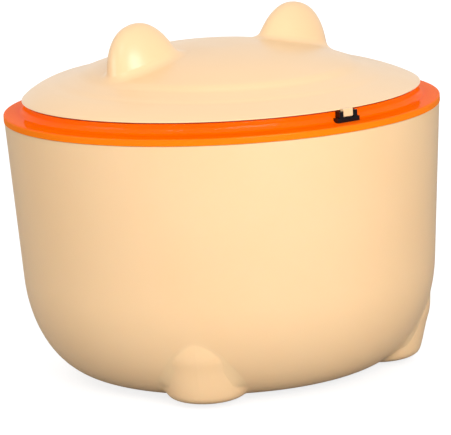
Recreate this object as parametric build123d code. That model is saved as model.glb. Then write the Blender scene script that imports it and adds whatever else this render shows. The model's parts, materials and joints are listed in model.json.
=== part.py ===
"""Litter disposal pail: a round tub on three moulded feet, a bag collar that sits on its rim,
and a hinged, cat-eared lid with a press latch in front.

Millimetres. +Z is up, the origin is the middle of the floor under the feet, and the front,
where the latch is, faces -Y. The ears stand to either side, along X.
"""
from build123d import *
from math import atan, atan2, cos, degrees, hypot, radians, sin, tan
import os

# ---- tub -------------------------------------------------------------------------------
tub_height = 180.0         # floor to the shoulder that the collar's lip hides
tub_top_radius = 149.6
tub_draft = 3.48           # degrees, the taper of the side wall
tub_wall = 3.0
tub_ground_gap = 3.0       # underside of the flat bottom above the floor
corner_width = 48.0        # rounded bottom corner, across
corner_height = 74.3       # and up
rim_tongue_height = 1.4    # thin upstand that the gasket sits on
rim_tongue_wall = 1.3
gasket_thickness = 1.0

# ---- feet ------------------------------------------------------------------------------
foot_inset = 46.5          # from the tub's top edge in to the middle of a foot
foot_azimuths = {"left": 223.9, "right": 316.1, "rear": 90.0}
foot_outline = [(18.5, 2.5), (26.3, 6.0), (28.6, 11.0), (32.6, 27.0)]   # radius and height
foot_root_radius = 36.0
foot_root_height = 54.0
foot_floor = 4.2
foot_core_inset = 2.0
foot_blend = 8.0
pad_radius = 9.0
pad_thickness = 3.0
pad_proud = 0.8
pad_edge = 0.4
pad_fit = 0.1              # pad to the wall of its recess

# ---- bag collar ------------------------------------------------------------------------
collar_overhang = 0.4      # the lip stands out this much from the tub's shoulder
lip_wall = 1.9
lip_gap = 0.3              # from the tub's shoulder to the lip
flange_thickness = 2.5
flange_rise = 0.4          # the flange climbs this much towards the neck
flange_edge_radius = 1.0
neck_inset = 14.3          # from the collar's outside in to the neck's outside
neck_height = 9.8          # above the flange's underside
neck_wall = 2.5
neck_fillet = 4.0
neck_crest = 0.75          # rounding of the neck's top
skirt_depth = 12.0
skirt_wall = 2.0
bag_clearance = 0.6        # room for the bag film between the skirt and the tub
rib_count = 30
rib_thickness = 1.4
rib_depth = 6.0

# ---- lid -------------------------------------------------------------------------------
lid_overhang = 1.3         # the rim stands out from the neck
lid_gap = 1.1              # neck to rim, filled by the seal
lid_wall = 2.2
crown_wall = 2.0           # the same wall, measured upwards
crown_tilt = 1.43          # degrees, the dome stands a little higher at the rear
# distance in from the rim, height above it, and share of the tilt
crown_edge = [(0, 0, 0), (0.3, 0.55, 0.03), (1.0, 1.15, 0.1)]
crown_band = [(1.0, 1.15, 0.1), (5.5, 3.75, 0.5), (11.0, 6.2, 0.82), (17.0, 8.3, 1.0)]
# share of the radius where the band ends, and height above the rim
crown_dome = [(0.9, 11.4), (0.81, 15.1), (0.715, 19.25), (0.6, 23.5), (0.43, 28.2), (0.23, 31.6)]
crown_height = 32.6
land_width = 6.5           # flat land under the rim that the seal is bonded to
seal_width = 2.7
seal_inset = 0.4           # the seal's outside, in from the neck's
seal_gap = 0.1
seal_edge = 0.3

ear_spacing = 71.1         # each ear's top point from the middle plane, before it leans
ear_setback = 2.4
ear_rise = 52.2            # top of the ears above the rim
ear_depth = 40.0
ear_radius = 30.3          # half-width at ear_depth below the top
ear_flatness = 0.60        # front-to-back thickness over width
ear_roundness = 0.45       # power of the depth at which the ear widens
ear_bulge = 0.24           # extra width near the top
ear_cuts = (0.004, 0.05, 0.15, 0.3, 0.45)      # shares of ear_depth where its shape is set
ear_core_cuts = (0.1, 0.2, 0.4, 0.65, 0.9)     # and those of the hollow inside
ear_splay = 14.5           # degrees, outwards
ear_nod = 4.6              # degrees, forwards
ear_waist = 0.6            # share of ear_depth at which the foot of the ear starts to flare
ear_flare = 3.7            # the flare's edge beyond ear_radius
ear_flare_depth = 31.0     # just under the crown

# ---- press latch -----------------------------------------------------------------------
latch_stand_off = 0.3      # from the neck to the latch's back
latch_depth = 5.0
latch_seat_rise = 0.3      # flat seat above the flange's top edge
latch_bar_half = 9.0
latch_bar_height = 3.1
latch_arm_inner = 4.2
latch_arm_outer = 7.3
latch_arm_height = 4.2
latch_body_half = 4.8
latch_body_drop = 10.4     # spring pocket below the flange's underside
latch_wall = 1.0
latch_edge = 0.4
latch_slot_clearance = 0.2
plunger_half = 2.9
plunger_clearance = 0.1
plunger_length = 6.0
plunger_edge = 0.2
tongue_half = 3.8
tongue_gap = 0.3           # tongue to plunger
tongue_setback = 0.8       # tongue behind the latch's front
tongue_root = 0.6          # how far the tongue runs up into the rim
tongue_reach = 2.0         # and how far back
latch_screw_cover = 0.8    # plastic left above the screws
latch_spring_wire = 0.35
latch_spring_turns = 6

# ---- rear hinge ------------------------------------------------------------------------
hinge_offset = 6.1         # pin behind the neck
hinge_height = 5.8         # pin above the bracket's seat
hinge_pin_radius = 1.5
pin_clearance = 0.05
pin_overhang = 1.7
pin_edge = 0.3
cheek_inner = 17.0
cheek_width = 4.0
cheek_radius = 3.8
bracket_half = 30.0
bracket_stand_off = 1.3    # from the neck to the plate
bracket_depth = 9.6
bracket_thickness = 2.0
bracket_corner = 2.5
knuckle_radius = 3.6
knuckle_inner = 6.8
knuckle_end_gap = 0.2
gusset_height = 4.2
gusset_lead = 75.0         # degrees, where the gusset's back leaves the knuckle
hinge_screw_margin = 4.0   # screws in from the bracket's ends
hinge_screw_offset = 3.9   # screws behind the neck
hinge_boss_radius = 3.0
hinge_boss_depth = 7.0
hinge_spring_wire = 0.9
hinge_spring_turns = 6.5
hinge_spring_pitch = 1.15
hinge_spring_radius = 2.5
hinge_spring_leg = 4.8
clip_thickness = 0.6
clip_radius = 3.1
clip_grip = 0.03
clip_mouth = 40.0          # degrees below level at which the mouth's corners meet the pin

# ---- lid liner and filter --------------------------------------------------------------
liner_thickness = 1.8
liner_gap = 0.1            # liner to the land's underside
liner_bead_inset = 34.2    # stiffening bead, in from the liner's edge
liner_bead_height = 1.2
liner_bead_slope = 2.0
liner_bead_width = 3.0
liner_screw_inset = 14.2
liner_screw_count = 6
boss_radius = 3.2
boss_gap = 0.05            # boss to liner
cup_radius = 36.0
cup_wall = 1.8
cup_height = 17.0
cup_recess_width = 7.0     # the recess round the cup's mouth that the cap lies in
cup_recess_depth = 2.3
ledge_width = 1.3
ledge_thickness = 1.6
bayonet_count = 3
ledge_sweep = 40.0
lug_sweep = 30.0
lug_thickness = 2.3
cap_margin = 1.0           # cap's edge to the recess's wall
cap_thickness = 1.8
cap_skirt_wall = 1.6
vent_count = 20
vent_length = 13.0
vent_width = 2.4
vent_circle = 22.0
grip_length = 26.0
grip_width = 6.0
grip_height = 2.2
grip_edge = 0.8
cartridge_margin = 2.0     # felt puck to the cup's wall
cartridge_height = 10.0
cartridge_edge = 1.0
fit_gap = 0.3              # between pieces that lift or turn past each other

# ---- screws ----------------------------------------------------------------------------
small_screw = {"head": 1.5, "head_height": 0.9, "shank": 0.8}
large_screw = {"head": 2.4, "head_height": 1.5, "shank": 1.2}
screw_edge = 0.4           # rounding of the head over its height
screw_recess = 0.5         # depth of the cross recess over the head's height
recess_length = 1.1        # and its length and width over the head's radius
recess_width = 0.24
screw_point = 0.6          # bevel over the shank's radius
liner_screw_length = 5.5
screw_clearance = 0.08
screw_end_gap = 0.5        # from a screw's point to the bottom of its hole
overrun = 1.0              # how far cutters and hidden roots run past the face they meet

# ---- derived heights and radii ---------------------------------------------------------
tongue_top_z = tub_height + rim_tongue_height
flange_under = tongue_top_z + gasket_thickness
flange_top = flange_under + flange_thickness
neck_top = flange_under + neck_height
lid_bottom = neck_top + lid_gap
ear_top = lid_bottom + ear_rise

collar_radius = tub_top_radius + collar_overhang
neck_radius = collar_radius - neck_inset
neck_inner = neck_radius - neck_wall
lid_radius = neck_radius + lid_overhang
land_radius = lid_radius - land_width
foot_circle_radius = tub_top_radius - foot_inset

fitting_seat = flange_top + latch_seat_rise
latch_back = neck_radius + latch_stand_off
latch_front = latch_back + latch_depth
latch_middle = -(latch_front + latch_back) / 2
latch_body_bottom = flange_under - latch_body_drop
latch_screw_x = (latch_body_half + latch_bar_half) / 2 + latch_slot_clearance
plunger_top = fitting_seat + latch_bar_height
plunger_bottom = plunger_top - plunger_length
bore_half_depth = latch_depth / 2 - latch_wall
bore_bottom = latch_body_bottom + latch_wall
tongue_front = latch_front - tongue_setback
tongue_back = lid_radius - latch_slot_clearance

hinge_y = neck_radius + hinge_offset
hinge_z = fitting_seat + hinge_height
hinge_screw_x = bracket_half - hinge_screw_margin
hinge_screw_y = neck_radius + hinge_screw_offset
bracket_front = neck_radius + bracket_stand_off
bracket_back = bracket_front + bracket_depth
plate_top = fitting_seat + bracket_thickness
hinge_spring_half = hinge_spring_turns * hinge_spring_pitch / 2

liner_top = lid_bottom - liner_gap
liner_bottom = liner_top - liner_thickness
liner_radius = land_radius - fit_gap
liner_bead_radius = liner_radius - liner_bead_inset
liner_screw_circle = liner_radius - liner_screw_inset
cup_floor = liner_bottom + cup_recess_depth
cup_top = cup_floor + cup_height
cup_recess_radius = cup_radius + cup_recess_width
ledge_top = cup_floor + ledge_thickness
cap_radius = cup_recess_radius - cap_margin
cap_bottom = cup_floor - fit_gap - cap_thickness
cap_top = cap_bottom + cap_thickness
skirt_outer = cup_radius - ledge_width - fit_gap
lug_top = ledge_top + fit_gap + lug_thickness


def turned(outline):
    """Solid turned about Z from a closed outline of (radius, height) edges."""
    return revolve(Plane.XZ * make_face(outline), Axis.Z)


def ring(inner, outer, low, high):
    """Flat-sided ring."""
    return turned(Polyline((inner, low), (outer, low), (outer, high), (inner, high), close=True))


def slab(x0, x1, y0, y1, z0, z1):
    """Box between two corners."""
    return Pos((x0 + x1) / 2, (y0 + y1) / 2, (z0 + z1) / 2) * Box(x1 - x0, y1 - y0, z1 - z0)


def rod(x, y, low, high, radius):
    """Upright cylinder."""
    return Pos(x, y, (low + high) / 2) * Cylinder(radius, high - low)


def cross_rod(x0, x1, radius):
    """Cylinder along X on the hinge line."""
    return Pos((x0 + x1) / 2, hinge_y, hinge_z) * Rot(0, 90, 0) * Cylinder(radius, x1 - x0)


def sector(radius, low, high, middle, sweep):
    """Pie slice about Z, for cutting rings into arcs."""
    reach = radius / cos(radians(sweep / 2))
    corners = [(reach * cos(radians(middle + side)), reach * sin(radians(middle + side)))
               for side in (-sweep / 2, sweep / 2)]
    wedge = make_face(Polyline((0, 0), corners[0], corners[1], close=True))
    return Pos(0, 0, low) * extrude(wedge, high - low)


def screw(size, length):
    """Pan-head screw pointing up, its head below Z = 0, with a cross recess."""
    head = Pos(0, 0, -size["head_height"] / 2) * Cylinder(size["head"], size["head_height"])
    head = fillet(head.edges().sort_by(Axis.Z)[0], size["head_height"] * screw_edge)
    shank = Pos(0, 0, length / 2) * Cylinder(size["shank"], length)
    shank = chamfer(shank.edges().sort_by(Axis.Z)[-1], size["shank"] * screw_point)
    long = size["head"] * recess_length
    slot = size["head"] * recess_width
    depth = size["head_height"] * screw_recess
    recess = Box(long, slot, depth) + Box(slot, long, depth)
    return head + shank - Pos(0, 0, depth / 2 - size["head_height"]) * recess


def save(name, shape):
    export_step(shape, f"parts/{name}.step")


# ---- tub with its hollow feet ----------------------------------------------------------
def tub_side(offset, floor):
    """Edges of the tub's side from the middle of its bottom to the shoulder.

    The corner is part of an ellipse that leaves off where its slope matches the draft.
    """
    width = corner_width - offset
    height = corner_height + tub_ground_gap - floor
    slope = tan(radians(tub_draft))
    leave = atan(height * slope / width)
    join_z = floor + height - height * sin(leave)
    join_r = tub_top_radius - offset - (tub_height - join_z) * slope
    flat = join_r - width * cos(leave)
    return [Line((0, floor), (flat, floor)),
            EllipticalCenterArc((flat, floor + height), width, height, 270,
                                arc_size=90 - degrees(leave)),
            Line((join_r, join_z), (tub_top_radius - offset, tub_height))]


def foot_form(inset, lift):
    """One foot about Z: a flat sole, a rounded toe and a flank that widens into the body."""
    sole = pad_proud + lift
    side = [(radius - inset, height + lift) for radius, height in foot_outline]
    start = (pad_radius - inset, sole)
    root = (foot_root_radius - inset, foot_root_height + lift)
    return turned([Line((0, sole), start),
                   Spline(start, *side, root, tangents=[(1, 0), (0, 1)]),
                   Line(root, (0, root[1])),
                   Line((0, root[1]), (0, sole))])


def foot_place(name):
    """Where a foot stands; its own X axis points away from the tub's middle."""
    return Rot(0, 0, foot_azimuths[name]) * Pos(foot_circle_radius, 0, 0)


def make_tub():
    tongue_inner = tub_top_radius - tub_wall
    outside = turned(tub_side(0, tub_ground_gap)
                     + [Line((tub_top_radius, tub_height), (0, tub_height)),
                        Line((0, tub_height), (0, tub_ground_gap))])
    core = foot_form(foot_core_inset, foot_floor)
    feet = [foot_place(name) * foot_form(0, 0) for name in foot_azimuths]
    body = outside
    outside = body + feet
    outside = fillet(new_edges(body, *feet, combined=outside), foot_blend)
    inner_floor = tub_ground_gap + tub_wall
    inside = turned(tub_side(tub_wall, inner_floor)
                    + [Line((tongue_inner, tub_height), (tongue_inner, tongue_top_z + overrun)),
                       Line((tongue_inner, tongue_top_z + overrun), (0, tongue_top_z + overrun)),
                       Line((0, tongue_top_z + overrun), (0, inner_floor))])
    tub = outside + ring(0, tongue_inner + rim_tongue_wall, tub_height, tongue_top_z) - inside
    for name in foot_azimuths:
        recess = rod(0, 0, 0, pad_thickness, pad_radius + pad_fit)
        tub = tub - foot_place(name) * core - foot_place(name) * recess
    return tub


def make_pad():
    pad = rod(0, 0, 0, pad_thickness, pad_radius)
    return fillet(pad.edges().sort_by(Axis.Z)[0], pad_edge)


# ---- bag collar ------------------------------------------------------------------------
def inner_tub_radius(z):
    return tub_top_radius - tub_wall - (tub_height - z) * tan(radians(tub_draft))


def make_collar():
    """Orange ring: lip and skirt straddle the tub's rim, and the neck carries the lid."""
    skirt_bottom = flange_under - skirt_depth
    skirt_top_r = inner_tub_radius(flange_under) - bag_clearance
    skirt_low_r = inner_tub_radius(skirt_bottom) - bag_clearance
    collar = turned(collar_outline(skirt_bottom, skirt_top_r, skirt_low_r))
    collar = collar + collar_ribs(neck_radius, skirt_top_r - skirt_wall / 2)
    for side in (-1, 1):
        collar = collar + rod(side * hinge_screw_x, hinge_screw_y,
                              flange_under - hinge_boss_depth, flange_under + overrun,
                              hinge_boss_radius)
    latch_room = latch_bar_half + latch_slot_clearance
    latch_pocket = slab(-latch_room, latch_room, -latch_front - latch_slot_clearance,
                        -neck_inner, fitting_seat, lid_bottom)
    bracket_room = bracket_half + fit_gap
    bracket_pocket = slab(-bracket_room, bracket_room, neck_inner, bracket_back + fit_gap,
                          fitting_seat, lid_bottom)
    collar = collar - (latch_pocket + bracket_pocket - ring(0, neck_radius, 0, lid_bottom))
    slot = latch_body_half + latch_slot_clearance
    collar = collar - slab(-slot, slot, -latch_front - latch_slot_clearance,
                           -latch_back, latch_body_bottom, fitting_seat)
    for side in (-1, 1):
        collar = collar - rod(side * hinge_screw_x, hinge_screw_y, 0, lid_bottom,
                              large_screw["shank"] + screw_clearance)
        collar = collar - rod(side * latch_screw_x, latch_middle, 0, fitting_seat,
                              small_screw["shank"] + screw_clearance)
    return collar


def collar_outline(skirt_bottom, skirt_top_r, skirt_low_r):
    """Cross-section of the ring, from the neck's foot round the skirt, lip, flange and neck."""
    lip_inner = collar_radius - lip_wall
    lip_bottom = tub_height + lip_gap
    edge_z = flange_top - flange_edge_radius
    root = (neck_radius + neck_fillet, flange_top + flange_rise)
    root_top = root[1] + neck_fillet
    crest_z = neck_top - neck_crest
    corners = [(neck_inner, flange_under), (skirt_top_r - skirt_wall, flange_under),
               (skirt_low_r - skirt_wall, skirt_bottom), (skirt_low_r, skirt_bottom),
               (skirt_top_r, flange_under), (lip_inner, flange_under),
               (lip_inner, lip_bottom), (collar_radius, lip_bottom), (collar_radius, edge_z)]
    outline = [Line(start, end) for start, end in zip(corners, corners[1:])]
    flange_edge = (collar_radius - flange_edge_radius, flange_top)
    outline += [RadiusArc(corners[-1], flange_edge, -flange_edge_radius),
                Line(flange_edge, root),
                RadiusArc(root, (neck_radius, root_top), neck_fillet),
                Line((neck_radius, root_top), (neck_radius, crest_z)),
                RadiusArc((neck_radius, crest_z), (neck_radius - neck_crest, neck_top),
                          -neck_crest),
                Line((neck_radius - neck_crest, neck_top), (neck_inner + neck_crest, neck_top)),
                RadiusArc((neck_inner + neck_crest, neck_top), (neck_inner, crest_z),
                          -neck_crest),
                Line((neck_inner, crest_z), corners[0])]
    return outline


def collar_ribs(inner, outer):
    """Triangular gussets under the flange, left out at the latch and at the hinge's bosses."""
    profile = Polyline((inner, flange_under), (outer, flange_under),
                       (outer, flange_under - rib_depth), close=True)
    rib = extrude(Plane.XZ * make_face(profile), rib_thickness / 2, both=True)
    step = 360 / rib_count
    latch_zone = degrees(atan(latch_bar_half / latch_back)) + step / 2
    boss_zone = degrees(atan((hinge_screw_x + hinge_boss_radius) / hinge_screw_y)) + step / 4
    angles = [step * index for index in range(rib_count)]
    kept = [angle for angle in angles
            if abs(angle - 270) > latch_zone and abs(angle - 90) > boss_zone]
    return [Rot(0, 0, angle) * rib for angle in kept]


# ---- press latch on the collar's front -------------------------------------------------
def make_latch_housing():
    """Black U: a bar on the flange, two arms beside the lid's tongue, and a spring pocket."""
    bar = slab(-latch_bar_half, latch_bar_half, -latch_front, -latch_back,
               fitting_seat, plunger_top)
    body = slab(-latch_body_half, latch_body_half, -latch_front,
                -latch_back - latch_slot_clearance, latch_body_bottom, fitting_seat)
    housing = bar + body
    for side in (-1, 1):
        near, far = sorted((side * latch_arm_inner, side * latch_arm_outer))
        housing = housing + slab(near, far, -latch_front, -latch_back,
                                 plunger_top, plunger_top + latch_arm_height)
    outer = housing.edges().filter_by(Axis.Z).group_by(Axis.Y)[0]
    outer = outer.filter_by(lambda edge: edge.center().Z > fitting_seat)
    housing = chamfer(outer, latch_edge)
    bore = plunger_half + plunger_clearance
    housing = housing - slab(-bore, bore, latch_middle - bore_half_depth,
                             latch_middle + bore_half_depth, bore_bottom, plunger_top)
    for side in (-1, 1):
        housing = housing - rod(side * latch_screw_x, latch_middle, fitting_seat,
                                plunger_top - latch_screw_cover,
                                small_screw["shank"] + screw_clearance)
    return housing


def make_plunger():
    half = bore_half_depth - plunger_clearance
    plunger = slab(-plunger_half, plunger_half, latch_middle - half, latch_middle + half,
                   plunger_bottom, plunger_top)
    return chamfer(plunger.edges().group_by(Axis.Z)[-1], plunger_edge)


def coil(radius, wire, turns, length):
    """Helical spring whose wire starts beside +X on the XY plane and climbs along Z."""
    path = Helix(length / turns, length, radius)
    start = Plane(origin=path @ 0, z_dir=path % 0)
    return sweep(start * Circle(wire / 2), path)


def make_latch_spring():
    """Compression spring between the pocket's bottom and the plunger."""
    wire = latch_spring_wire
    seat = plunger_clearance / 2
    length = plunger_bottom - bore_bottom - wire - 2 * seat
    spring = coil(bore_half_depth - wire, wire, latch_spring_turns, length)
    return Pos(0, latch_middle, bore_bottom + wire / 2 + seat) * spring


def make_latch_screws():
    length = plunger_top - latch_screw_cover - screw_end_gap - flange_under
    placed = [Pos(side * latch_screw_x, latch_middle, flange_under) * screw(small_screw, length)
              for side in (-1, 1)]
    return Compound(placed)


# ---- rear hinge ------------------------------------------------------------------------
def make_bracket():
    """Black base plate with two cheeks that hold the pin's ends."""
    plate = slab(-bracket_half, bracket_half, bracket_front, bracket_back,
                 fitting_seat, plate_top)
    plate = fillet(plate.edges().filter_by(Axis.Z), bracket_corner)
    middle = (fitting_seat + hinge_z) / 2
    face = Plane.YZ * (Pos(hinge_y, middle) * Rectangle(2 * cheek_radius, hinge_z - fitting_seat)
                       + Pos(hinge_y, hinge_z) * Circle(cheek_radius))
    bracket = plate
    for low in (cheek_inner, -cheek_inner - cheek_width):
        bracket = bracket + Pos(low, 0, 0) * extrude(face, cheek_width)
    far = cheek_inner + cheek_width + overrun
    bracket = bracket - cross_rod(-far, far, hinge_pin_radius + pin_clearance)
    for side in (-1, 1):
        bracket = bracket - rod(side * hinge_screw_x, hinge_screw_y, fitting_seat - overrun,
                                plate_top + overrun, large_screw["shank"] + screw_clearance)
    return bracket


def make_hinge_screws():
    length = plate_top - flange_under + hinge_boss_depth - screw_end_gap
    placed = [Pos(side * hinge_screw_x, hinge_screw_y, plate_top) * Rot(180, 0, 0)
              * screw(large_screw, length) for side in (-1, 1)]
    return Compound(placed)


def make_pin():
    half = cheek_inner + cheek_width + pin_overhang
    pin = cross_rod(-half, half, hinge_pin_radius)
    return chamfer(pin.edges().filter_by(GeomType.CIRCLE), pin_edge)


def make_pin_clips():
    """Open spring rings pushed on the pin's ends."""
    start = cheek_inner + cheek_width + pin_clearance
    mouth_half = hinge_pin_radius * cos(radians(clip_mouth))
    clips = []
    for low in (start, -start - clip_thickness):
        high = low + clip_thickness
        mouth = slab(low, high, hinge_y - mouth_half, hinge_y + mouth_half,
                     hinge_z - clip_radius - overrun, hinge_z)
        clips.append(cross_rod(low, high, clip_radius)
                     - cross_rod(low, high, hinge_pin_radius + clip_grip) - mouth)
    return Compound(clips)


def spring_leg(x, start, end):
    """Straight wire across X between two (y, z) points."""
    run = (end[0] - start[0], end[1] - start[1])
    middle = Pos(x, (start[0] + end[0]) / 2, (start[1] + end[1]) / 2)
    lean = degrees(atan2(run[1], run[0])) - 90
    return middle * Rot(lean, 0, 0) * Cylinder(hinge_spring_wire / 2, hypot(*run))


def make_hinge_spring():
    """Torsion spring round the pin: one leg on the bracket, one under the lid's rim."""
    wind = coil(hinge_spring_radius, hinge_spring_wire, hinge_spring_turns,
                2 * hinge_spring_half)
    wind = Pos(-hinge_spring_half, hinge_y, hinge_z) * Rot(0, 90, 0) * wind
    low_leg = spring_leg(-hinge_spring_half, (hinge_y, hinge_z - hinge_spring_radius),
                         (hinge_y + hinge_spring_leg,
                          plate_top + hinge_spring_wire / 2 + pin_clearance))
    high_leg = spring_leg(hinge_spring_half, (hinge_y, hinge_z + hinge_spring_radius),
                          (neck_radius + latch_stand_off, neck_top + seal_gap))
    return wind + low_leg + high_leg


# ---- lid -------------------------------------------------------------------------------
def crown(inset, drop):
    """Solid under the lid's crown: a tilted dome on a band that levels out at the rim."""
    pivot = Pos(0, 0, lid_bottom - drop)
    edge, band = [[pivot * Rot(crown_tilt * share, 0, 0) * Pos(0, 0, rise)
                   * Circle(lid_radius - margin - inset) for margin, rise, share in rows]
                  for rows in (crown_edge, crown_band)]
    approach, approach_rise, _ = crown_band[-2]
    band_width, foot_rise, _ = crown_band[-1]
    foot_radius = lid_radius - band_width
    foot = (foot_radius - inset, foot_rise)
    points = [(foot_radius * share - inset, rise) for share, rise in crown_dome]
    top = (0, crown_height)
    lead = (points[0][0] - (lid_radius - approach), points[0][1] - approach_rise)
    dome = turned([Spline(foot, *points, top, tangents=[lead, (-1, 0)]),
                   Line(top, (0, foot_rise)),
                   Line((0, foot_rise), foot)])
    return loft(edge) + loft(band) + pivot * Rot(crown_tilt, 0, 0) * dome


def ear_section(share, inset):
    """Level cut through an ear at a share of its depth: a flattened ellipse."""
    half = ear_radius * share ** ear_roundness * (1 + ear_bulge * (1 - share))
    return Pos(0, 0, -ear_depth * share) * Ellipse(half - inset, half * ear_flatness - inset)


def ear_place(blade):
    """Stands an ear on the crown, leaning outwards and forwards."""
    return Pos(ear_spacing, ear_setback, ear_top) * Rot(-ear_nod, ear_splay, 0) * blade


def ear():
    """One round-topped ear whose foot flares out to meet the crown."""
    sections = [ear_section(share, 0) for share in (*ear_cuts, ear_waist)]
    foot = ear_radius + ear_flare
    sections.append(Pos(0, 0, -ear_flare_depth) * Ellipse(foot, foot * ear_flatness))
    return ear_place(loft(sections))


def ear_core():
    """The hollow inside an ear."""
    return ear_place(loft([ear_section(share, lid_wall) for share in ear_core_cuts]))


def both_sides(shape):
    return [shape, mirror(shape, Plane.YZ)]


def liner_screw_spots():
    step = 360 / liner_screw_count
    angles = [radians(step * (index + 0.5)) for index in range(liner_screw_count)]
    return [(liner_screw_circle * cos(angle), liner_screw_circle * sin(angle))
            for angle in angles]


def make_lid_shell():
    """Crown, ears, screw bosses, latch tongue and hinge knuckles, moulded in one."""
    outside = crown(0, 0)
    cavity = crown(lid_wall, crown_wall) & ring(0, land_radius, 0, ear_top)
    shell = outside + both_sides(ear()) - (cavity + both_sides(ear_core()))
    for x, y in liner_screw_spots():
        shell = shell + (rod(x, y, liner_top + boss_gap, ear_top, boss_radius) & outside)
        shell = shell - rod(x, y, liner_bottom,
                            liner_bottom + liner_screw_length + screw_end_gap,
                            small_screw["shank"] + screw_clearance)
    return shell + lid_tongue() + hinge_knuckles()


def lid_tongue():
    """Tongue that drops between the latch's arms."""
    top = lid_bottom + tongue_root
    tongue = slab(-tongue_half, tongue_half, -tongue_front, -tongue_back,
                  plunger_top + tongue_gap, top)
    root = slab(-tongue_half, tongue_half, -tongue_front, -tongue_back + tongue_reach,
                lid_bottom, top)
    return chamfer(tongue.edges().group_by(Axis.Z)[0], latch_edge) + root


def hinge_knuckles():
    """Two knuckles on gussets behind the lid's rim."""
    heel = land_radius + overrun
    lead = radians(gusset_lead)
    top = lid_bottom + gusset_height
    gusset = Polyline((heel, lid_bottom), (hinge_y, lid_bottom),
                      (hinge_y + knuckle_radius * cos(lead), hinge_z + knuckle_radius * sin(lead)),
                      (hinge_y - knuckle_radius, top), (heel, top), close=True)
    side = Plane.YZ * (make_face(gusset) + Pos(hinge_y, hinge_z) * Circle(knuckle_radius))
    outer = cheek_inner - knuckle_end_gap
    knuckles = []
    for low in (knuckle_inner, -outer):
        knuckle = Pos(low, 0, 0) * extrude(side, outer - knuckle_inner)
        bore = cross_rod(low, low + outer - knuckle_inner, hinge_pin_radius + pin_clearance)
        knuckles.append(knuckle - bore)
    return knuckles


def make_lid_seal():
    outside = neck_radius - seal_inset
    seal = ring(outside - seal_width, outside, neck_top + seal_gap, lid_bottom)
    return fillet(seal.edges().filter_by(GeomType.CIRCLE).group_by(Axis.Z)[0], seal_edge)


# ---- lid liner with the deodoriser cup -------------------------------------------------
def panel_outline():
    """Flat panel with one stiffening bead pressed up all round."""
    inner = liner_bead_radius
    outer = liner_bead_radius + liner_bead_width
    slope = liner_bead_slope
    skin = [(inner - slope, 0), (inner, liner_bead_height), (outer, liner_bead_height),
            (outer + slope, 0)]
    lower = [(radius, liner_bottom + rise) for radius, rise in skin]
    upper = [(radius, liner_top + rise) for radius, rise in reversed(skin)]
    return Polyline((0, liner_bottom), *lower, (liner_radius, liner_bottom),
                    (liner_radius, liner_top), *upper, (0, liner_top), close=True)


def bayonet_arcs(band, low, high, sweep):
    """Arcs of a ring, one for each bayonet catch."""
    reach = cup_radius + cup_wall
    return [band & sector(reach, low, high, 360 / bayonet_count * index, sweep)
            for index in range(bayonet_count)]


def make_liner():
    """Inner panel with a stiffening bead, a recess for the cap and a cup above it."""
    recess_wall = cup_recess_radius + cup_wall
    liner = turned(panel_outline()) + ring(0, recess_wall, liner_bottom, cup_floor + cup_wall)
    liner = liner + ring(0, cup_radius + cup_wall, cup_floor, cup_top)
    liner = liner - ring(0, cup_recess_radius, liner_bottom, cup_floor)
    liner = liner - ring(0, cup_radius, cup_floor, cup_top - cup_wall)
    ledge = ring(cup_radius - ledge_width, cup_radius + cup_wall / 2, cup_floor, ledge_top)
    liner = liner + bayonet_arcs(ledge, cup_floor, ledge_top, ledge_sweep)
    for x, y in liner_screw_spots():
        liner = liner - rod(x, y, liner_bottom, liner_top, small_screw["shank"] + screw_clearance)
    return liner


def make_liner_screws():
    placed = [Pos(x, y, liner_bottom) * screw(small_screw, liner_screw_length)
              for x, y in liner_screw_spots()]
    return Compound(placed)


def make_filter_cap():
    """Vented quarter-turn cap with a finger grip."""
    cap = ring(0, cap_radius, cap_bottom, cap_top)
    cap = cap + ring(skirt_outer - cap_skirt_wall, skirt_outer, cap_top, lug_top)
    lug = ring(skirt_outer - cap_skirt_wall / 2, cup_radius - fit_gap, lug_top - lug_thickness,
               lug_top)
    cap = cap + bayonet_arcs(lug, lug_top - lug_thickness, lug_top, lug_sweep)
    step = 360 / vent_count
    vent = Pos(vent_circle, 0, 0) * extrude(SlotOverall(vent_length, vent_width), lug_top)
    cap = cap - [Rot(0, 0, step * (index + 0.5)) * vent for index in range(vent_count)]
    grip = extrude(SlotOverall(grip_length, grip_width), grip_height)
    grip = fillet(grip.edges().group_by(Axis.Z)[0], grip_edge)
    return cap + Pos(0, 0, cap_bottom - grip_height) * grip


def make_cartridge():
    bottom = lug_top + fit_gap
    puck = ring(0, cup_radius - cartridge_margin, bottom, bottom + cartridge_height)
    return fillet(puck.edges().filter_by(GeomType.CIRCLE), cartridge_edge)


# ---- the pieces ------------------------------------------------------------------------
save("tub", make_tub())
for name in foot_azimuths:
    save(f"foot_pad_{name}", foot_place(name) * make_pad())
save("rim_gasket", ring(tub_top_radius - tub_wall, tub_top_radius - tub_wall + rim_tongue_wall,
                        tongue_top_z, flange_under))
save("bag_collar", make_collar())
save("latch_housing", make_latch_housing())
save("latch_plunger", make_plunger())
save("latch_spring", make_latch_spring())
save("latch_screws", make_latch_screws())
save("hinge_bracket", make_bracket())
save("hinge_screws", make_hinge_screws())
save("hinge_pin", make_pin())
save("hinge_pin_clips", make_pin_clips())
save("hinge_spring", make_hinge_spring())
save("lid_shell", make_lid_shell())
save("lid_seal", make_lid_seal())
save("lid_liner", make_liner())
save("liner_screws", make_liner_screws())
save("filter_cartridge", make_cartridge())
save("filter_cap", make_filter_cap())
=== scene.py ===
import bpy
import json
from math import cos, radians, sin
from mathutils import Euler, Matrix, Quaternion, Vector

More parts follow.
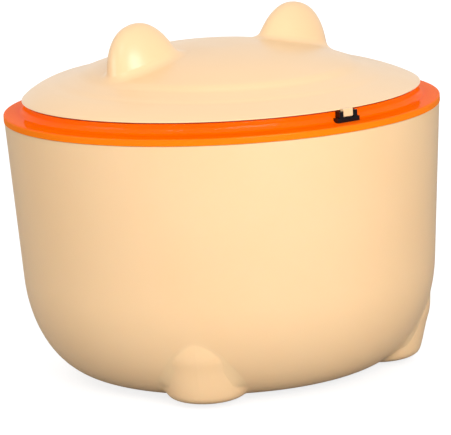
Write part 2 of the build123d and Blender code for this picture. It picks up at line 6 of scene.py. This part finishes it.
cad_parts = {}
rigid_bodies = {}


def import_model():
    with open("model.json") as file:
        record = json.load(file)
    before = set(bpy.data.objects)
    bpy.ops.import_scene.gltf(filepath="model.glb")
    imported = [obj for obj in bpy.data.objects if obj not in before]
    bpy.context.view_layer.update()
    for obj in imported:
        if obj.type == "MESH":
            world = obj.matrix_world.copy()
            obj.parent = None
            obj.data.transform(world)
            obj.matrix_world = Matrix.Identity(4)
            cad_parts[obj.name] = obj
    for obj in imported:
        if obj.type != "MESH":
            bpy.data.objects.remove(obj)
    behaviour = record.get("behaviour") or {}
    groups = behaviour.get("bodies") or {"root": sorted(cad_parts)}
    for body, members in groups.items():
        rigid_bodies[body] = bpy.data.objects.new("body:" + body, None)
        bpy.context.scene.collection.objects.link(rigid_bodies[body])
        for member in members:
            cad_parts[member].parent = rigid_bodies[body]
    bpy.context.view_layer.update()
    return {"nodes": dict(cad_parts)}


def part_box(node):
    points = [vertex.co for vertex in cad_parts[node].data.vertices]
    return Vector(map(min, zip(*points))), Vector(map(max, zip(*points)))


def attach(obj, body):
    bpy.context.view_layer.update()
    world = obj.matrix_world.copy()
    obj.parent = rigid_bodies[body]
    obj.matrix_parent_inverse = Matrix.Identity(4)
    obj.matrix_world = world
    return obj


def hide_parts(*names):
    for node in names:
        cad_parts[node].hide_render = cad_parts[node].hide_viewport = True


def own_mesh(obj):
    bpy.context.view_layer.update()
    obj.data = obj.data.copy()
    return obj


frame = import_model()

bpy.ops.object.select_all(action="DESELECT")

# ---- Tub -------------------------------------------------------------------------------
# One injection moulding in cream polypropylene with a satin, lightly sparked surface.
# The colour is a touch uneven, and the wall lets a little light into its skin. The gate
# that the plastic came through has left a small dimpled mark under the bottom.


def add_socket(group, way, kind, name, value=None):
    """One named input or output on a shader node group."""
    socket = group.interface.new_socket(name=name, in_out=way, socket_type=kind)
    if value is not None:
        socket.default_value = value
    return socket


def build_moulded_skin():
    """Group for moulded plastic: soft clouds of colour, a fine spark grain and faint scuffs."""
    group = bpy.data.node_groups.new("moulded_skin", "ShaderNodeTree")
    add_socket(group, "INPUT", "NodeSocketColor", "Colour", (0.8, 0.6, 0.4, 1))
    add_socket(group, "INPUT", "NodeSocketColor", "Cloud colour", (0.75, 0.55, 0.35, 1))
    add_socket(group, "INPUT", "NodeSocketFloat", "Cloud size", 9.0)
    add_socket(group, "INPUT", "NodeSocketFloat", "Grain size", 2400.0)
    add_socket(group, "INPUT", "NodeSocketFloat", "Grain depth", 0.05)
    add_socket(group, "INPUT", "NodeSocketFloat", "Gloss low", 0.35)
    add_socket(group, "INPUT", "NodeSocketFloat", "Gloss high", 0.45)
    add_socket(group, "OUTPUT", "NodeSocketColor", "Colour")
    add_socket(group, "OUTPUT", "NodeSocketFloat", "Roughness")
    add_socket(group, "OUTPUT", "NodeSocketVector", "Normal")
    nodes = group.nodes
    link = group.links.new
    inlet = nodes.new("NodeGroupInput")
    outlet = nodes.new("NodeGroupOutput")
    place = nodes.new("ShaderNodeTexCoord")

    clouds = nodes.new("ShaderNodeTexNoise")
    clouds.inputs["Detail"].default_value = 3.0
    link(place.outputs["Object"], clouds.inputs["Vector"])
    link(inlet.outputs["Cloud size"], clouds.inputs["Scale"])
    cloud_share = nodes.new("ShaderNodeMapRange")
    cloud_share.inputs["From Min"].default_value = 0.35
    cloud_share.inputs["From Max"].default_value = 0.68
    link(clouds.outputs["Fac"], cloud_share.inputs["Value"])
    tint = nodes.new("ShaderNodeMix")
    tint.data_type = "RGBA"
    link(cloud_share.outputs["Result"], tint.inputs["Factor"])
    link(inlet.outputs["Colour"], tint.inputs["A"])
    link(inlet.outputs["Cloud colour"], tint.inputs["B"])
    link(tint.outputs["Result"], outlet.inputs["Colour"])

    scuffs = nodes.new("ShaderNodeTexNoise")
    scuffs.inputs["Scale"].default_value = 55.0
    scuffs.inputs["Detail"].default_value = 2.0
    scuffs.inputs["Roughness"].default_value = 0.4
    link(place.outputs["Object"], scuffs.inputs["Vector"])
    gloss = nodes.new("ShaderNodeMix")
    link(scuffs.outputs["Fac"], gloss.inputs["Factor"])
    link(inlet.outputs["Gloss low"], gloss.inputs["A"])
    link(inlet.outputs["Gloss high"], gloss.inputs["B"])
    link(gloss.outputs["Result"], outlet.inputs["Roughness"])

    grain = nodes.new("ShaderNodeTexNoise")
    grain.inputs["Detail"].default_value = 2.0
    link(place.outputs["Object"], grain.inputs["Vector"])
    link(inlet.outputs["Grain size"], grain.inputs["Scale"])
    relief = nodes.new("ShaderNodeBump")
    relief.inputs["Distance"].default_value = 0.0002
    link(inlet.outputs["Grain depth"], relief.inputs["Strength"])
    link(grain.outputs["Fac"], relief.inputs["Height"])
    link(relief.outputs["Normal"], outlet.inputs["Normal"])
    return group


moulded_skin = build_moulded_skin()


def skin_of(material):
    """The material's Principled node."""
    return material.node_tree.nodes["Principled BSDF"]


def surface_of(material):
    """The group node that gives the material's colour, roughness and normal."""
    return next(node for node in material.node_tree.nodes if node.type == "GROUP")


def surfaced(name, group):
    """New material whose Principled node takes colour, roughness and normal from a group."""
    material = bpy.data.materials.new(name)
    material.use_nodes = True
    surface = material.node_tree.nodes.new("ShaderNodeGroup")
    surface.node_tree = group
    join = material.node_tree.links.new
    join(surface.outputs["Colour"], skin_of(material).inputs["Base Color"])
    join(surface.outputs["Roughness"], skin_of(material).inputs["Roughness"])
    join(surface.outputs["Normal"], skin_of(material).inputs["Normal"])
    return material


def moulded(name, colour, cloud, gloss, grain=0.08, cloud_size=9.0, grain_size=2400.0):
    """Material with the moulded skin; colours are linear RGB, gloss is low and high roughness."""
    material = surfaced(name, moulded_skin)
    surface = surface_of(material)
    surface.inputs["Colour"].default_value = (*colour, 1)
    surface.inputs["Cloud colour"].default_value = (*cloud, 1)
    surface.inputs["Cloud size"].default_value = cloud_size
    surface.inputs["Grain size"].default_value = grain_size
    surface.inputs["Grain depth"].default_value = grain
    surface.inputs["Gloss low"].default_value = gloss[0]
    surface.inputs["Gloss high"].default_value = gloss[1]
    return material


def dress(node, material):
    """Puts one material on a carried-over node."""
    slots = frame["nodes"][node].data.materials
    slots.clear()
    slots.append(material)


cream_plastic = moulded("cream_polypropylene", (0.88, 0.595, 0.33), (0.87, 0.575, 0.31),
                        (0.27, 0.35), grain=0.04)
cream_skin = skin_of(cream_plastic)
cream_skin.inputs["Subsurface Weight"].default_value = 0.12
cream_skin.inputs["Subsurface Radius"].default_value = (1.0, 0.6, 0.3)
cream_skin.inputs["Subsurface Scale"].default_value = 0.004
dress("tub", cream_plastic)


def fix_place(piece):
    """Puts a piece's place into its mesh, with its object at the origin."""
    bpy.ops.object.select_all(action="DESELECT")
    piece.select_set(True)
    bpy.context.view_layer.objects.active = piece
    bpy.ops.object.transform_apply(location=True, rotation=True, scale=True)


def select_faces(piece, wanted):
    """Selects the faces whose centre and normal pass a test, and opens the piece for editing."""
    bpy.ops.object.mode_set(mode="EDIT")
    bpy.ops.mesh.select_mode(type="FACE")
    bpy.ops.mesh.select_all(action="DESELECT")
    bpy.ops.object.mode_set(mode="OBJECT")
    for face in piece.data.polygons:
        face.select = wanted(face.center, face.normal)
    bpy.ops.object.mode_set(mode="EDIT")


def soften(piece, width, steps=2, angle=35):
    """Rounds the sharp edges of a finished piece and shades it smooth between them."""
    bpy.ops.object.select_all(action="DESELECT")
    piece.select_set(True)
    bpy.context.view_layer.objects.active = piece
    bevel = piece.modifiers.new("edges", "BEVEL")
    bevel.width = width
    bevel.segments = steps
    bevel.limit_method = "ANGLE"
    bevel.angle_limit = radians(angle)
    bpy.ops.object.modifier_apply(modifier=bevel.name)
    bpy.ops.object.shade_smooth_by_angle(angle=radians(angle))


def is_sole(place, normal):
    """True for a face that looks down."""
    return normal.z < -0.9


gate_radius = 0.0036
gate_rim_width = gate_radius * 0.3
gate_ditch_width = gate_radius * 0.35
gate_height = 0.0004
gate_ditch_depth = gate_height * 0.6
gate_bead_height = gate_height * 0.3
tub_underside = 0.003
bpy.ops.mesh.primitive_cylinder_add(vertices=48, radius=gate_radius, depth=gate_height,
                                    location=(0, 0, tub_underside - gate_height / 2))
gate_mark = bpy.context.active_object
gate_mark.name = "gate_mark"
fix_place(gate_mark)
select_faces(gate_mark, is_sole)
bpy.ops.mesh.inset(thickness=gate_rim_width)
bpy.ops.transform.translate(value=(0, 0, gate_ditch_depth))
bpy.ops.mesh.inset(thickness=gate_ditch_width)
bpy.ops.transform.translate(value=(0, 0, -gate_bead_height))
bpy.ops.object.mode_set(mode="OBJECT")
soften(gate_mark, width=0.00008)
gate_mark.data.materials.append(cream_plastic)
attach(gate_mark, "tub")

# ---- Foot pads -------------------------------------------------------------------------
# Soft dark rubber buttons pressed into the soles, so that the pail doesn't slide.
# Each is moulded with three ring grooves in its face, which grip the floor.
pad_rubber = moulded("pad_rubber", (0.02, 0.02, 0.02), (0.035, 0.033, 0.03), (0.75, 0.9),
                     grain=0.3, cloud_size=60.0)
groove_depth = 0.0006
groove_width = 0.0007
rim_width = 0.0014
land_width = 0.0013
pad_bands = (rim_width, groove_width, land_width, groove_width, land_width, groove_width)
pad_low, pad_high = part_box("foot_pad_left")
pad_radius = (pad_high[0] - pad_low[0]) / 2
pad_height = pad_high[2] - pad_low[2]
pad_middle = Vector((0, 0, (pad_low[2] + pad_high[2]) / 2))
pad_spots = {}
for side in ("left", "right", "rear"):
    low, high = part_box(f"foot_pad_{side}")
    pad_spots[side] = Vector(((low[0] + high[0]) / 2, (low[1] + high[1]) / 2, 0))
bpy.ops.mesh.primitive_cylinder_add(vertices=72, radius=pad_radius, depth=pad_height,
                                    location=pad_spots["left"] + pad_middle)
left_pad = bpy.context.active_object
left_pad.name = "foot_pad_button_left"
fix_place(left_pad)
select_faces(left_pad, is_sole)
groove_radii = []
ring_edge = pad_radius
for band in pad_bands:
    bpy.ops.mesh.inset(thickness=band)
    ring_edge -= band
    if band == groove_width:
        groove_radii.append(ring_edge + band / 2)
bpy.ops.object.mode_set(mode="OBJECT")
groove_slack = 0.0002


def in_groove(place, normal):
    """True for the narrow rings of the pad's sole."""
    reach = (Vector((place.x, place.y, 0)) - pad_spots["left"]).length
    return is_sole(place, normal) and any(abs(reach - radius) < groove_slack
                                          for radius in groove_radii)


select_faces(left_pad, in_groove)
bpy.ops.mesh.extrude_region_move(TRANSFORM_OT_translate={"value": (0, 0, groove_depth)})
bpy.ops.object.mode_set(mode="OBJECT")
soften(left_pad, width=0.00018)
left_pad.data.materials.append(pad_rubber)


def twin(piece, name):
    """A copy with its own mesh, open for editing with everything selected."""
    bpy.ops.object.select_all(action="DESELECT")
    copy = piece.copy()
    copy.data = piece.data.copy()
    copy.name = name
    bpy.context.scene.collection.objects.link(copy)
    copy.select_set(True)
    bpy.context.view_layer.objects.active = copy
    bpy.ops.object.mode_set(mode="EDIT")
    bpy.ops.mesh.select_all(action="SELECT")
    return copy


pad_buttons = {"left": left_pad}
for side in ("right", "rear"):
    pad_buttons[side] = twin(left_pad, f"foot_pad_button_{side}")
    bpy.ops.transform.translate(value=pad_spots[side] - pad_spots["left"])
    bpy.ops.object.mode_set(mode="OBJECT")
for side, button in pad_buttons.items():
    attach(button, "tub")
    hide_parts(f"foot_pad_{side}")

# ---- Foot roots ------------------------------------------------------------------------
# The mould blends each foot into the tub's rounded corner, part of the tub's own skin.
# The left foot's is drawn off the tub's surface round it and copied to the other two.


def merged_copy(node, name, material, gap=0.000001):
    """A new piece with a node's own surface, its facets joined up across a tiny gap."""
    bpy.ops.object.select_all(action="DESELECT")
    piece = bpy.data.objects.new(name, frame["nodes"][node].data.copy())
    bpy.context.scene.collection.objects.link(piece)
    piece.select_set(True)
    bpy.context.view_layer.objects.active = piece
    bpy.ops.object.mode_set(mode="EDIT")
    bpy.ops.mesh.select_all(action="SELECT")
    bpy.ops.mesh.remove_doubles(threshold=gap)
    bpy.ops.object.mode_set(mode="OBJECT")
    piece.data.materials.clear()
    piece.data.materials.append(material)
    return piece


def draw_root(node, name, material, voxel, sink, wanted, ease=130, wall=0.0006):
    """A thin skin drawn off part of a node's surface and eased until its corners are fillets."""
    root = merged_copy(node, name, material)
    even_skin = root.modifiers.new("even_skin", "REMESH")
    even_skin.mode = "VOXEL"
    even_skin.voxel_size = voxel
    bpy.ops.object.modifier_apply(modifier=even_skin.name)
    select_faces(root, lambda place, normal: not wanted(place, normal))
    bpy.ops.mesh.delete(type="FACE")
    bpy.ops.mesh.select_all(action="SELECT")
    bpy.ops.mesh.region_to_loop()
    bpy.ops.mesh.select_mode(type="VERT")
    bpy.ops.mesh.select_more()
    bpy.ops.mesh.select_all(action="INVERT")
    bpy.ops.mesh.vertices_smooth(factor=0.5, repeat=ease)
    bpy.ops.mesh.select_all(action="SELECT")
    bpy.ops.transform.shrink_fatten(value=-sink)
    bpy.ops.object.mode_set(mode="OBJECT")
    backing = root.modifiers.new("backing", "SOLIDIFY")
    backing.thickness = wall
    backing.offset = -1.0
    bpy.ops.object.modifier_apply(modifier=backing.name)
    bpy.ops.object.shade_smooth()
    return root


def mirrored(piece, name):
    """The piece's mirror image on the other side of the middle plane."""
    copy = twin(piece, name)
    bpy.ops.transform.resize(value=(-1, 1, 1), center_override=(0, 0, 0))
    bpy.ops.mesh.flip_normals()
    bpy.ops.object.mode_set(mode="OBJECT")
    return copy


foot_axis = pad_spots["left"]
foot_heart = Vector((foot_axis.x * 0.7, foot_axis.y * 0.7, 0.09))
foot_root_reach = 0.055
foot_root_low = 0.012
foot_root_high = 0.08


def beside_foot(place, normal):
    """True for the tub's outer skin round the left foot."""
    reach = Vector((place.x - foot_axis.x, place.y - foot_axis.y, 0)).length
    return (reach < foot_root_reach and foot_root_low < place.z < foot_root_high
            and normal.dot(place - foot_heart) > 0)


left_root = draw_root("tub", "foot_root_left", cream_plastic, voxel=0.0014, sink=0.00015,
                      wanted=beside_foot)
right_root = mirrored(left_root, "foot_root_right")
rear_root = twin(left_root, "foot_root_rear")
rear_turn = pad_spots["left"].xy.angle_signed(pad_spots["rear"].xy)
bpy.ops.transform.rotate(value=rear_turn, orient_axis="Z", center_override=(0, 0, 0))
bpy.ops.object.mode_set(mode="OBJECT")
for root in (left_root, right_root, rear_root):
    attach(root, "tub")

# ---- Rim gasket ------------------------------------------------------------------------
# Grey silicone ring that lies on the tub's rim, under the collar, and keeps smells in.
# It is matt from the mould and a little mottled.
silicone = moulded("silicone", (0.16, 0.14, 0.12), (0.2, 0.18, 0.15), (0.5, 0.65), grain=0.1,
                   cloud_size=40.0)
dress("rim_gasket", silicone)

# ---- Bag collar ------------------------------------------------------------------------
# Clear orange polycarbonate ring that clamps the bag's mouth; glossy, with light in its edges.
# The flange's outer edge gets a paler orange base colour than its top, a painted highlight for
# the light that edge catches.
orange_plastic = moulded("orange_clear_plastic", (1.0, 0.14, 0.0), (0.98, 0.115, 0.0),
                         (0.12, 0.2), grain=0.01)
orange_skin = skin_of(orange_plastic)
orange_skin.inputs["Subsurface Weight"].default_value = 0.15
orange_skin.inputs["Subsurface Radius"].default_value = (1.0, 0.35, 0.05)
orange_skin.inputs["Subsurface Scale"].default_value = 0.006
orange_skin.inputs["Specular IOR Level"].default_value = 0.0
orange_skin.inputs["Coat Weight"].default_value = 0.18
orange_skin.inputs["Coat Roughness"].default_value = 0.08

flange_top = 0.1849
flange_edge = 0.1838
collar_plastic = orange_plastic.copy()
collar_plastic.name = "orange_collar"
collar_nodes = collar_plastic.node_tree.nodes
collar_join = collar_plastic.node_tree.links.new
height = collar_nodes.new("ShaderNodeSeparateXYZ")
collar_join(collar_nodes.new("ShaderNodeTexCoord").outputs["Object"], height.inputs["Vector"])
# Painted highlight: below the flange's top, the base colour turns a paler orange.
painted_highlight_share = collar_nodes.new("ShaderNodeMapRange")
painted_highlight_share.interpolation_type = "SMOOTHSTEP"
painted_highlight_share.inputs["From Min"].default_value = flange_top
painted_highlight_share.inputs["From Max"].default_value = flange_edge
collar_join(height.outputs["Z"], painted_highlight_share.inputs["Value"])
flange_painted_highlight = collar_nodes.new("ShaderNodeMix")
flange_painted_highlight.data_type = "RGBA"
flange_painted_highlight.inputs["B"].default_value = (1.0, 0.205, 0.004, 1)
collar_join(painted_highlight_share.outputs["Result"], flange_painted_highlight.inputs["Factor"])
collar_join(surface_of(collar_plastic).outputs["Colour"], flange_painted_highlight.inputs["A"])
collar_join(flange_painted_highlight.outputs["Result"], skin_of(collar_plastic).inputs["Base Color"])
dress("bag_collar", collar_plastic)

# ---- Press latch -----------------------------------------------------------------------
# Black acetal housing and button, glossy from the mould. Two steel screws hold the housing,
# and a small steel coil sits beneath the button.
black_plastic = moulded("black_acetal", (0.003, 0.003, 0.004), (0.006, 0.005, 0.006),
                        (0.14, 0.22), grain=0.03, cloud_size=80.0)
skin_of(black_plastic).inputs["Specular IOR Level"].default_value = 0.3
dress("latch_housing", black_plastic)
dress("latch_plunger", black_plastic)


def build_plated_steel():
    """Group for zinc-plated steel: mottled plating with fine pits."""
    group = bpy.data.node_groups.new("plated_steel", "ShaderNodeTree")
    add_socket(group, "INPUT", "NodeSocketColor", "Colour", (0.6, 0.6, 0.62, 1))
    add_socket(group, "INPUT", "NodeSocketColor", "Plating colour", (0.5, 0.5, 0.47, 1))
    add_socket(group, "OUTPUT", "NodeSocketColor", "Colour")
    add_socket(group, "OUTPUT", "NodeSocketFloat", "Roughness")
    add_socket(group, "OUTPUT", "NodeSocketVector", "Normal")
    nodes = group.nodes
    link = group.links.new
    inlet = nodes.new("NodeGroupInput")
    outlet = nodes.new("NodeGroupOutput")
    place = nodes.new("ShaderNodeTexCoord")
    mottle = nodes.new("ShaderNodeTexNoise")
    mottle.inputs["Scale"].default_value = 700.0
    mottle.inputs["Detail"].default_value = 5.0
    link(place.outputs["Object"], mottle.inputs["Vector"])
    tint = nodes.new("ShaderNodeMix")
    tint.data_type = "RGBA"
    link(mottle.outputs["Fac"], tint.inputs["Factor"])
    link(inlet.outputs["Colour"], tint.inputs["A"])
    link(inlet.outputs["Plating colour"], tint.inputs["B"])
    link(tint.outputs["Result"], outlet.inputs["Colour"])
    polish = nodes.new("ShaderNodeMapRange")
    polish.inputs["To Min"].default_value = 0.22
    polish.inputs["To Max"].default_value = 0.42
    link(mottle.outputs["Fac"], polish.inputs["Value"])
    link(polish.outputs["Result"], outlet.inputs["Roughness"])
    pits = nodes.new("ShaderNodeBump")
    pits.inputs["Strength"].default_value = 0.15
    pits.inputs["Distance"].default_value = 0.0001
    link(mottle.outputs["Fac"], pits.inputs["Height"])
    link(pits.outputs["Normal"], outlet.inputs["Normal"])
    return group


steel = surfaced("zinc_plated_steel", build_plated_steel())
skin_of(steel).inputs["Metallic"].default_value = 1.0
dress("latch_screws", steel)

latch_coil = merged_copy("latch_spring", "latch_coil", steel)
bpy.ops.object.shade_smooth_by_angle(angle=radians(35))
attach(latch_coil, "collar")
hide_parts("latch_spring")
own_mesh(latch_coil)

# ---- Rear hinge ------------------------------------------------------------------------
# Black bracket screwed to the flange. A steel pin with two clips carries the lid's knuckles,
# and a wound spring between them lifts the lid.
dress("hinge_bracket", black_plastic)
for node in ("hinge_screws", "hinge_pin", "hinge_pin_clips", "hinge_spring"):
    dress(node, steel)

# ---- Lid -------------------------------------------------------------------------------
# Cream moulding like the tub's, with two hollow ears and a shallow ring groove round its
# crown. A soft amber seal and six liner screws sit beneath it.
lid_plastic = moulded("cream_lid", (0.88, 0.6, 0.335), (0.87, 0.58, 0.315), (0.26, 0.34),
                      grain=0.01)
lid_nodes = lid_plastic.node_tree.nodes
lid_join = lid_plastic.node_tree.links.new
flatten = lid_nodes.new("ShaderNodeVectorMath")
flatten.operation = "MULTIPLY"
flatten.inputs[1].default_value = (1, 1, 0)
lid_join(lid_nodes.new("ShaderNodeTexCoord").outputs["Object"], flatten.inputs[0])
from_axis = lid_nodes.new("ShaderNodeVectorMath")
from_axis.operation = "LENGTH"
lid_join(flatten.outputs["Vector"], from_axis.inputs[0])
groove_shoulders = ((0.1, 0.087), (0.116, 0.105))
groove_drop = 0.0022
outer_share = 0.4
shoulders = []
for outer, inner in groove_shoulders:
    shoulder = lid_nodes.new("ShaderNodeMapRange")
    shoulder.interpolation_type = "SMOOTHERSTEP"
    shoulder.inputs["From Min"].default_value = outer
    shoulder.inputs["From Max"].default_value = inner
    lid_join(from_axis.outputs["Value"], shoulder.inputs["Value"])
    shoulders.append(shoulder)
swell = lid_nodes.new("ShaderNodeMath")
swell.operation = "MULTIPLY_ADD"
swell.inputs[1].default_value = outer_share
lid_join(shoulders[1].outputs["Result"], swell.inputs[0])
lid_join(shoulders[0].outputs["Result"], swell.inputs[2])
shallow = lid_nodes.new("ShaderNodeBump")
shallow.inputs["Strength"].default_value = 1.0
shallow.inputs["Distance"].default_value = groove_drop
lid_join(swell.outputs["Value"], shallow.inputs["Height"])
lid_join(surface_of(lid_plastic).outputs["Normal"], shallow.inputs["Normal"])
lid_join(shallow.outputs["Normal"], skin_of(lid_plastic).inputs["Normal"])
dress("lid_shell", lid_plastic)
seal_rubber = moulded("amber_seal", (0.4, 0.07, 0.01), (0.34, 0.05, 0.008), (0.5, 0.65),
                      grain=0.1, cloud_size=40.0)
dress("lid_seal", seal_rubber)
dress("liner_screws", steel)

# ---- Ear roots -------------------------------------------------------------------------
# The mould blends each ear into the crown with a soft fillet, part of the lid's own skin.
# The right ear's is drawn off the lid's surface round its foot and mirrored to the left.
ear_tip = Vector((0.0711, 0.0024, 0.2455))
ear_lean = Euler((radians(-4.6), radians(14.5), 0)).to_matrix().transposed()
ear_heart = Vector((0.060, 0.0, 0.195))
ear_reach = (0.057, 0.044)
ear_root_low = -0.05
ear_root_high = -0.014
ear_inner_limit = 0.02


def beside_ear(place, normal):
    """True for the lid's outer skin round the right ear's foot."""
    local = ear_lean @ (place - ear_tip)
    spread = (local.x / ear_reach[0]) ** 2 + (local.y / ear_reach[1]) ** 2
    return (place.x > ear_inner_limit and normal.dot(place - ear_heart) > 0 and spread < 1
            and ear_root_low < local.z < ear_root_high)


ear_root = draw_root("lid_shell", "ear_root_right", lid_plastic, voxel=0.0011, sink=0.0001,
                     wanted=beside_ear, ease=60)
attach(ear_root, "lid")
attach(mirrored(ear_root, "ear_root_left"), "lid")

# ---- Lid liner and deodoriser ----------------------------------------------------------
# Inner panel in a paler, sparked plastic, with a cup at its middle for a carbon felt puck.
# The puck's vented cap is the collar's orange plastic and turns on a bayonet.
liner_plastic = moulded("liner_plastic", (0.82, 0.68, 0.47), (0.78, 0.64, 0.44), (0.45, 0.6),
                        grain=0.2)
dress("lid_liner", liner_plastic)
felt = moulded("carbon_felt", (0.012, 0.012, 0.013), (0.05, 0.05, 0.052), (0.9, 1.0),
               grain=1.0, cloud_size=900.0, grain_size=1500.0)
dress("filter_cartridge", felt)
dress("filter_cap", orange_plastic)

# ---- Studio ----------------------------------------------------------------------------
# White paper under the pail and an even white room. A soft box in front gives the main light;
# a weak one to the left, a small lamp over the left ear and a fill behind round it off.
floor_size = 8.0
floor_drop = 0.0003
floor_grey = 0.3
floor_lift = 0.8
bpy.ops.mesh.primitive_plane_add(size=floor_size, location=(0, 0, -floor_drop))
floor = bpy.context.active_object
floor.name = "floor"
paper = bpy.data.materials.new("white_paper")
paper.use_nodes = True
paper_nodes = paper.node_tree.nodes
paper_join = paper.node_tree.links.new
paper_skin = skin_of(paper)
paper_skin.inputs["Base Color"].default_value = (floor_grey, floor_grey, floor_grey, 1)
paper_skin.inputs["Roughness"].default_value = 0.9
paper_skin.inputs["Emission Color"].default_value = (1, 1, 1, 1)
seen = paper_nodes.new("ShaderNodeLightPath")
lift = paper_nodes.new("ShaderNodeMath")
lift.operation = "MULTIPLY"
lift.inputs[1].default_value = floor_lift
paper_join(seen.outputs["Is Camera Ray"], lift.inputs[0])
paper_join(lift.outputs["Value"], paper_skin.inputs["Emission Strength"])
floor.data.materials.append(paper)

wall_brightness = 1.0
wall_light = 0.71
world = bpy.data.worlds.new("studio")
world.use_nodes = True
room = world.node_tree.nodes["Background"]
room.inputs["Color"].default_value = (1, 1, 1, 1)
looked_at = world.node_tree.nodes.new("ShaderNodeLightPath")
brightness = world.node_tree.nodes.new("ShaderNodeMapRange")
brightness.inputs["To Min"].default_value = wall_brightness
brightness.inputs["To Max"].default_value = wall_light
world.node_tree.links.new(looked_at.outputs["Is Diffuse Ray"], brightness.inputs["Value"])
world.node_tree.links.new(brightness.outputs["Result"], room.inputs["Strength"])
bpy.context.scene.world = world


def soft_box(name, azimuth, elevation, distance, size, power):
    """Square area light aimed at the middle of the pail; angles in degrees, power in watts."""
    aim = Vector((0, 0, 0.12))
    turn = radians(azimuth)
    rise = radians(elevation)
    back = Vector((sin(turn) * cos(rise), -cos(turn) * cos(rise), sin(rise)))
    bpy.ops.object.light_add(type="AREA", location=aim + back * distance)
    lamp = bpy.context.active_object
    lamp.name = name
    lamp.data.shape = "SQUARE"
    lamp.data.size = size
    lamp.data.energy = power
    lamp.rotation_mode = "QUATERNION"
    lamp.rotation_quaternion = (-back).to_track_quat("-Z", "Y")


soft_box("front_box", -15, 17, 1.2, 0.6, 9.5)
soft_box("side_box", -105, 10, 2.2, 1.0, 10)
soft_box("ear_lamp", -62, 38, 2.0, 0.35, 2.5)
soft_box("back_box", 150, 20, 2.4, 1.2, 8)
bpy.data.objects["back_box"].visible_glossy = False

# ---- Camera ----------------------------------------------------------------------------
# Long lens from the front left, a little above the lid, turned slightly about its axis.
# The azimuth is measured from the front, -Y, and the aim is a point inside the tub.
camera_azimuth = radians(-35.57)
camera_elevation = radians(11.437)
camera_roll = radians(-2.893)
camera_distance = 1.9
camera_aim = Vector((-0.00097, 0.00069, 0.10296))
camera_lens = 218.4
camera_back = Vector((sin(camera_azimuth) * cos(camera_elevation),
                      -cos(camera_azimuth) * cos(camera_elevation), sin(camera_elevation)))
bpy.ops.object.camera_add(location=camera_aim + camera_back * camera_distance)
camera = bpy.context.active_object
camera.name = "camera"
camera.rotation_mode = "QUATERNION"
camera.rotation_quaternion = ((-camera_back).to_track_quat("-Z", "Y")
                              @ Quaternion((0, 0, 1), camera_roll))
camera.data.lens = camera_lens
camera.data.sensor_width = 36.0
camera.data.clip_start = 0.05
bpy.context.scene.camera = camera
bpy.context.scene.view_settings.view_transform = "Standard"
